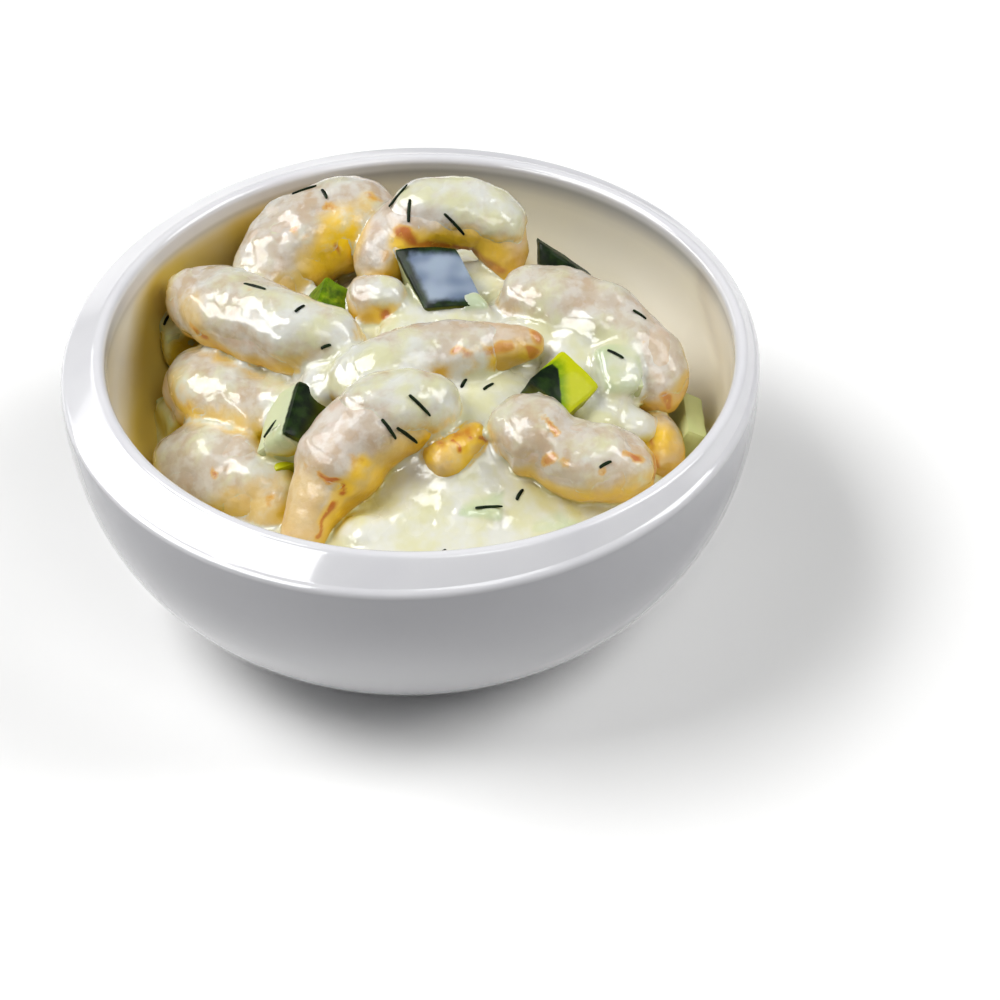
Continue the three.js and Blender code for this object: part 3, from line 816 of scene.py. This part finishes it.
def shelter(piece, tree):
    reach = rayForm["reach"] * mm
    values = []
    for spot, way in zip(places(piece), facing(piece)):
        normal = Vector(way)
        turnTo = normal.to_track_quat("Z", "Y")
        start = Vector(spot) + normal * rayForm["start"] * mm
        total = 0
        for ray in fan:
            distance = tree.ray_cast(start, turnTo @ ray, reach)[3]
            if distance is not None:
                total += 1 - rayForm["fade"] * distance / reach
        values.append(total / len(fan))
    values = evened(piece, numpy.array(values), 2)
    turnedAway = softStep(-(facing(piece) @ numpy.array(lightFrom)), -0.35, 0.65)
    mark(piece, "shelter", values)
    mark(piece, "away", evened(piece, turnedAway, 1))


def under(piece, tree, name):
    # 1 where something of the tree lies just under the surface, falling to 0 at the reach
    reach = underReach * mm
    values = []
    for spot, way in zip(places(piece), facing(piece)):
        normal = Vector(way)
        distance = tree.ray_cast(Vector(spot) + normal * 0.05 * mm, -normal, reach)[3]
        values.append(0 if distance is None else 1 - distance / reach)
    mark(piece, name, evened(piece, numpy.array(values), 1))


food = [cream, *shrimpPieces.values(), *dicePieces.values()]
everything = treeOf([bowl, *food])
for piece in food:
    shelter(piece, everything)
shelter(bowl, treeOf(food))
outward = places(bowl)[:, :2] - numpy.array(bowlSizes["shift"]) * mm
lean = numpy.array([s / bowlSizes["radius"] for s in bowlSizes["slope"]])
belowLip = bowlSizes["crease"] + bowlSizes["lipRise"] - (places(bowl)[:, 2] - outward @ lean) / mm
turnedIn = softStep(-(outward * facing(bowl)[:, :2]).sum(1) / mm, 0, 8)
mark(bowl, "inside", turnedIn * softStep(places(bowl)[:, 2] / mm, 4, 6) * softStep(belowLip, 0, 5))
# the left side, where the painted shade inside the bowl is strongest
mark(bowl, "left", softStep(-places(bowl)[:, 0] / mm, -10, 40))
under(cream, treeOf(shrimpPieces.values()), "fleshUnder")
under(cream, treeOf(dicePieces.values()), "greenUnder")
for piece in shrimpPieces.values():
    finishWith(piece, "SUBSURF", levels=1, render_levels=1)
    paint(piece)
paint(cream)
print("marks made")


# dill: short snips lying on whatever is uppermost

dillForm = {"length": 3.9, "width": 0.27, "sunk": 0.08, "bend": 0.1, "sides": 6, "flat": 0.7}
dillPlaces = [  # x, y, turn, length against the usual one
    (7.5, 23.5, -60, 1.15), (1, 25.5, 80, 0.9), (-0.5, 28.5, 30, 1.1), (1, -12, -38, 1.1),
    (-3.5, -14.5, -50, 0.9), (-1, -14, -22, 1.15), (11, -3, 40, 0.5), (7.5, -2.5, 60, 0.4),
    (29.5, 0.5, -35, 0.7), (33.5, 7.5, -20, 0.6), (-15.5, 8.5, 45, 0.5), (-22, 14, -35, 1),
    (-14.5, 34.5, 15, 1), (-11.5, 32.5, -70, 0.5), (-20.5, -4.5, 30, 0.8), (-12, 4, 20, 0.4),
    (14.5, -18, 60, 0.5), (26.5, -20, 30, 0.5), (10, -21, 0, 1), (3, -27, 50, 0.5), (-36, 23, 60, 0.5),
]


def dillSnip():
    sizes = [(0, 0.6), (0.06, 0.9), (0.4, 1), (0.8, 0.92), (0.96, 0.7), (1, 0.4)]
    length, width = dillForm["length"] * mm, dillForm["width"] * mm
    pose = {"rotation": (0, math.pi / 2, 0), "location": (-length / 2, 0, 0)}
    radius = width * sizes[0][1]
    bpy.ops.mesh.primitive_circle_add(vertices=dillForm["sides"], radius=radius, fill_type="NGON", **pose)
    snip = bpy.context.object
    openUp(snip)
    for (lastPart, lastSize), (part, size) in zip(sizes, sizes[1:]):
        step = (part - lastPart) * length
        x = (part - 0.5) * length
        bend = dillForm["bend"] * mm * 4 * ((lastPart - 0.5) ** 2 - (part - 0.5) ** 2)
        bpy.ops.mesh.extrude_region_move(TRANSFORM_OT_translate={"value": (step, bend, 0)})
        middle = (x, dillForm["bend"] * mm * 4 * (0.25 - (part - 0.5) ** 2), 0)
        bpy.ops.transform.resize(value=(1, size / lastSize, size / lastSize), center_override=middle)
    bpy.ops.mesh.select_all(action="SELECT")
    bpy.ops.transform.resize(value=(1, 1, dillForm["flat"]), center_override=(0, 0, 0))
    bpy.ops.mesh.normals_make_consistent(inside=False)
    closeUp()
    choose(snip)
    bpy.ops.object.transform_apply()
    return snip


snip = dillSnip()
snips = []
for x, y, angle, length in dillPlaces:
    spot, normal = everything.ray_cast(Vector((x * mm, y * mm, 0.08)), Vector((0, 0, -1)))[:2]
    piece = copied(snip)
    lie = Vector((0, 0, 1)).rotation_difference(normal).to_matrix().to_4x4()
    pose = lie @ Matrix.Rotation(math.radians(angle), 4, "Z") @ Matrix.Diagonal((length, 1, 1, 1))
    piece.data.transform(Matrix.Translation(spot + normal * dillForm["sunk"] * mm) @ pose)
    snips.append(piece)
bpy.data.objects.remove(snip)
dill = joined(snips, "dillSnips")
smoothed(dill)
print("dill laid:", len(dillPlaces))


# finishes

def linear(red, green, blue):
    # a colour as read off a screen, 0 to 255
    shares = [c / 255 for c in (red, green, blue)]
    return (*((c / 12.92 if c <= 0.04 else ((c + 0.055) / 1.055) ** 2.4) for c in shares), 1)


class Wire:
    # a shader value that can be worked with as a number
    def __init__(self, finish, socket):
        self.finish, self.socket = finish, socket

    def work(self, operation, first, second):
        return self.finish.node("ShaderNodeMath", {"operation": operation}, {0: first, 1: second})

    def __add__(self, other): return self.work("ADD", self, other)
    def __radd__(self, other): return self.work("ADD", other, self)
    def __sub__(self, other): return self.work("SUBTRACT", self, other)
    def __rsub__(self, other): return self.work("SUBTRACT", other, self)
    def __mul__(self, other): return self.work("MULTIPLY", self, other)
    def __rmul__(self, other): return self.work("MULTIPLY", other, self)


class Finish:
    def __init__(self, name, **fixed):
        self.material = bpy.data.materials.new(name)
        self.material.use_nodes = True
        self.nodes = self.material.node_tree.nodes
        self.shader = self.nodes["Principled BSDF"]
        for socket, value in fixed.items():
            self.shader.inputs[socket.replace("_", " ")].default_value = value
        self.place = self.node("ShaderNodeTexCoord", {}, {}, "Object")

    def node(self, kind, settings, sockets, output=0):
        made = self.nodes.new(kind)
        for name, value in settings.items():
            setattr(made, name, value)
        for name, value in sockets.items():
            socket = made.inputs[name]
            if isinstance(value, Wire):
                self.material.node_tree.links.new(value.socket, socket)
            else:
                socket.default_value = value
        return Wire(self, made.outputs[output])

    def grain(self, size, detail=2):
        # soft random patches of a size in mm
        sockets = {"Vector": self.place, "Scale": 1 / (size * mm), "Detail": detail, "Roughness": 0.5}
        return self.node("ShaderNodeTexNoise", {}, sockets)

    def between(self, value, low, high):
        # 0 below low, 1 above high, soft between
        sockets = {"Value": value, "From Min": low, "From Max": high}
        return self.node("ShaderNodeMapRange", {"interpolation_type": "SMOOTHSTEP"}, sockets)

    def read(self, name):
        return self.node("ShaderNodeAttribute", {"attribute_name": name}, {}, "Fac")

    def height(self):
        return self.node("ShaderNodeSeparateXYZ", {}, {0: self.place}, 2)

    def patches(self, size, first, second, low=0.35, high=0.65):
        # two colours in soft patches
        return self.blend(self.between(self.grain(*size), low, high), linear(*first), linear(*second))

    def blend(self, factor, first, second):
        return self.node("ShaderNodeMix", {"data_type": "RGBA"}, {0: factor, 6: first, 7: second}, 2)

    def feed(self, **wires):
        for name, wire in wires.items():
            self.material.node_tree.links.new(wire.socket, self.shader.inputs[name.replace("_", " ")])

    def bump(self, height, strength, depth):
        sockets = {"Height": height, "Strength": strength, "Distance": depth * mm}
        return self.node("ShaderNodeBump", {}, sockets)


def glazedPorcelain():
    look = Finish("glazedPorcelain", IOR=1.5, Coat_Weight=0.25, Coat_Roughness=0.02)
    height, inside, left = look.height(), look.read("inside"), look.read("left")
    rim = look.patches((14,), (215, 215, 219), (220, 220, 223))
    # painted shade: the outside below the crease is darker near the top and lighter towards the foot
    body = look.blend(look.between(height, 0.034, 0.01), linear(158, 158, 162), linear(184, 184, 187))
    glaze = look.blend(look.between(height, 0.0364, 0.0375), body, rim)  # painted shade: darker below the crease, most just under it
    # painted light: the inside gets a lighter, warmer glaze, standing for light bounced from the food
    glaze = look.blend(inside, glaze, linear(243, 237, 222))
    # painted shade and bounce: the inside turns warm and darker where the food shelters it, most on the
    # left
    shadeNearFood = look.read("shelter") * inside * (0.8 + look.grain(7) * 0.4)
    paintedWarmShade = look.between(shadeNearFood, 0.02, 0.35) * (0.35 + left * 0.4)
    glaze = look.blend(paintedWarmShade, glaze, linear(228, 214, 170))
    # a smear of dressing and painted shade: olive yellow where the food shelters the wall, most on the
    # left
    smearAndShade = look.between(shadeNearFood + left * 0.25, 0.3, 0.7) * 0.9
    glaze = look.blend(smearAndShade, glaze, linear(220, 192, 76))
    foot = look.between(height, 0.0003, 0.0001)  # the ring that it stands on is left unglazed
    look.feed(Base_Color=look.blend(foot, glaze, linear(208, 202, 192)))
    look.feed(Roughness=0.08 + look.grain(5) * 0.04 + foot * 0.5)
    look.feed(Normal=look.bump(look.grain(9), 0.03, 0.3))
    return look.material


def fleshTone(look):
    # the same on bare flesh and where it shows through thin dressing
    colour = look.patches((4, 3), (194, 180, 161), (190, 168, 143), 0.38, 0.66)
    veil = look.between(look.grain(2.2, 4), 0.42, 0.62)
    colour = look.blend(veil * 0.6, colour, linear(211, 207, 200))
    # painted shade: yellow-orange where sheltered or turned from the light
    paintedShade = look.read("shelter") * 1.2 + look.read("away") * 0.7 + (look.grain(2.6, 4) - 0.5) * 0.5
    colour = look.blend(look.between(paintedShade, 0.2, 0.75) * 0.85, colour, linear(214, 184, 104))
    colour = look.blend(look.between(paintedShade, 0.55, 1.15) * 0.95, colour, linear(212, 166, 26))
    # painted shade laid along the strokes in hollows and undersides
    hollowShade = look.read("hollowShade") * look.between(look.grain(2, 3), 0.1, 0.4)
    colour = look.blend(hollowShade, colour, linear(240, 196, 18))
    orange = look.read("orange") * look.between(look.grain(1.2, 3), 0.15, 0.45)
    colour = look.blend(look.between(orange, 0, 0.5) * 0.8, colour, linear(214, 160, 50))
    return look.blend(look.between(orange, 0.4, 0.95) * 0.9, colour, linear(186, 92, 4))


def cookedFlesh():
    look = Finish("cookedFlesh", IOR=1.4, Coat_Weight=0.4, Coat_Roughness=0.08, Subsurface_Weight=0.1,
                  Subsurface_Radius=(1.0, 0.9, 0.5), Subsurface_Scale=0.0012)
    tail = look.between(look.read("along") + (look.grain(3) - 0.5) * 0.2, 0.55, 0.95)
    back = look.between(look.read("back"), -0.2, 0.8)
    colour = look.blend(tail * 0.35, fleshTone(look), linear(206, 166, 98))
    blush = back * look.between(look.grain(2.6, 3), 0.45, 0.7)
    colour = look.blend(blush * 0.25, colour, linear(206, 170, 150))
    wet = look.between(look.grain(3, 3), 0.48, 0.62)
    look.feed(Base_Color=colour, Roughness=0.5 - wet * 0.25 + look.grain(1.5) * 0.1)
    look.feed(Normal=look.bump(look.grain(0.7, 4), 0.4, 0.25))
    return look.material


def dillCream():
    look = Finish("dillCream", IOR=1.4, Coat_Weight=0.5, Coat_Roughness=0.05, Subsurface_Weight=0.2,
                  Subsurface_Radius=(1.0, 0.95, 0.6), Subsurface_Scale=0.002)
    thin, green = look.read("fleshUnder"), look.read("greenUnder")
    colour = look.patches((5, 3), (213, 214, 206), (208, 207, 170))
    tinge = look.between(green + (look.grain(1.6, 3) - 0.5) * 0.3, 0.3, 0.95)
    colour = look.blend(tinge * 0.75, colour, linear(174, 192, 150))
    low = 1 - look.between(look.height(), 0.024, 0.031) * 0.65  # the painted shade is weaker where it lies high
    # painted shade: yellow and darker where sheltered or turned from the light
    paintedShade = (look.read("shelter") * 1.2 + look.read("away") * 0.45) * low + (look.grain(3, 4) - 0.5) * 0.5
    colour = look.blend(look.between(paintedShade, 0.2, 0.7) * 0.85, colour, linear(206, 198, 120))
    colour = look.blend(look.between(paintedShade, 0.5, 1.05) * 0.95, colour, linear(200, 174, 40))
    film = look.between(thin + (look.grain(1.6, 3) - 0.5) * 0.6, 0.4, 0.9)
    colour = look.blend(film * 0.95, colour, fleshTone(look))
    wet = look.between(look.grain(4, 2), 0.38, 0.58)
    look.feed(Base_Color=colour, Roughness=0.3 - wet * 0.2 + film * 0.08)
    look.feed(Normal=look.bump(look.grain(1.0, 4), 0.28, 0.2))
    return look.material


def cucumberCut():
    look = Finish("cucumberCut", IOR=1.22, Coat_Weight=0.1, Coat_Roughness=0.15, Subsurface_Weight=0.15,
                  Subsurface_Radius=(0.6, 1.0, 0.3), Subsurface_Scale=0.0015)
    depth = look.read("skinDepth") + (look.grain(1.2, 3) - 0.5) * 0.6
    flesh = look.blend(look.between(depth, 0.8, 4), linear(112, 146, 2), linear(184, 188, 2))
    flesh = look.blend(look.between(look.grain(1.1, 3), 0.5, 0.7) * 0.25, flesh, linear(200, 204, 40))
    flesh = look.blend(look.read("pale"), flesh, linear(204, 212, 180))
    rind = look.patches((2, 3), (4, 20, 4), (28, 50, 8))
    # painted sheen: bluish where the skin would reflect the lamps
    skinSheen = look.between(look.read("skinSheen") + (look.grain(2.4, 3) - 0.5) * 0.7, 0.25, 0.85)
    sheenColour = look.patches((5, 1), (104, 120, 146), (158, 172, 190), 0.35, 0.7)
    rind = look.blend(skinSheen * 0.9, rind, sheenColour)
    colour = look.blend(look.between(depth, 0.6, 1.1), rind, flesh)
    # painted shade: darker olive where sheltered or turned from the light
    paintedShade = look.read("shelter") + look.read("away") * 0.3
    colour = look.blend(look.between(paintedShade, 0.35, 0.95) * 0.5, colour, linear(120, 124, 10))
    look.feed(Base_Color=colour, Roughness=0.42 + look.grain(1.5) * 0.2)
    look.feed(Normal=look.bump(look.grain(0.8, 3), 0.3, 0.2))
    return look.material


def choppedDill():
    look = Finish("choppedDill", IOR=1.2)
    look.feed(Base_Color=look.patches((1.2,), (4, 16, 4), (20, 38, 10)))
    look.feed(Roughness=0.35 + look.grain(0.8) * 0.2)
    return look.material


def paleFloor():
    look = Finish("paleFloor")
    look.feed(Base_Color=look.patches((60,), (240, 240, 239), (243, 243, 242), 0.3, 0.7))
    look.feed(Roughness=0.75 + look.grain(20) * 0.1)
    return look.material


def dress(piece, finish, node):
    piece.data.materials.clear()
    piece.data.materials.append(finish)
    if node:
        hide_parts(node)
    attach(piece, "root")


flesh, cut = cookedFlesh(), cucumberCut()
dress(bowl, glazedPorcelain(), "bowl")
dress(cream, dillCream(), "sauce")
for name, piece in shrimpPieces.items():
    dress(piece, flesh, name)
for name, piece in dicePieces.items():
    dress(piece, cut, name)
dress(dill, choppedDill(), None)
print("finishes given")


# floor and light

bpy.ops.mesh.primitive_plane_add(size=4, location=(0, 0, 0))
floor = bpy.context.object
floor.name = "floor"
floor.data.materials.append(paleFloor())

lights = {  # long boxes that face the bowl, each between two ways: azimuth and height in degrees
    "leftBox": {"between": ((146, 48), (206, 56)), "width": 0.75, "power": 24},
    "rightBox": {"between": ((0, 20), (0, 60)), "width": 0.6, "power": 15},
    "frontBox": {"between": ((280, 66), (305, 44)), "width": 0.6, "power": 5},
    "lowBox": {"between": ((125, 14), (155, 20)), "width": 0.4, "power": 2.5},
    "window": {"between": ((150, 6), (236, 31)), "width": 0.75, "power": 64, "glossOnly": True},
}
lightAway = 1.6
lightAim = Vector((0, 0, 0.03))


def way(azimuth, height):
    angle, rise = math.radians(azimuth), math.radians(height)
    return Vector((math.cos(rise) * math.cos(angle), math.cos(rise) * math.sin(angle), math.sin(rise)))


for name, light in lights.items():
    start, end = (way(*angles) for angles in light["between"])
    toward, along = (start + end).normalized(), (end - start).normalized()
    bpy.ops.object.light_add(type="AREA")
    lamp = bpy.context.object
    lamp.name = name
    pose = Matrix((along, toward.cross(along), toward)).transposed().to_4x4()
    lamp.matrix_world = Matrix.Translation(toward * lightAway + lightAim) @ pose
    lamp.data.shape = "RECTANGLE"
    lamp.data.size = 2 * lightAway * math.tan(start.angle(end) / 2)
    lamp.data.size_y = light["width"]
    lamp.data.energy = light["power"]
    lamp.visible_diffuse = not light.get("glossOnly", False)  # the window only shows in the gloss

world = bpy.data.worlds.new("studio")
bpy.context.scene.world = world
world.use_nodes = True
background = world.node_tree.nodes["Background"]
background.inputs["Color"].default_value = (1, 1, 1, 1)
background.inputs["Strength"].default_value = 0.04
bpy.context.scene.view_settings.view_transform = "Standard"
print("lights set")
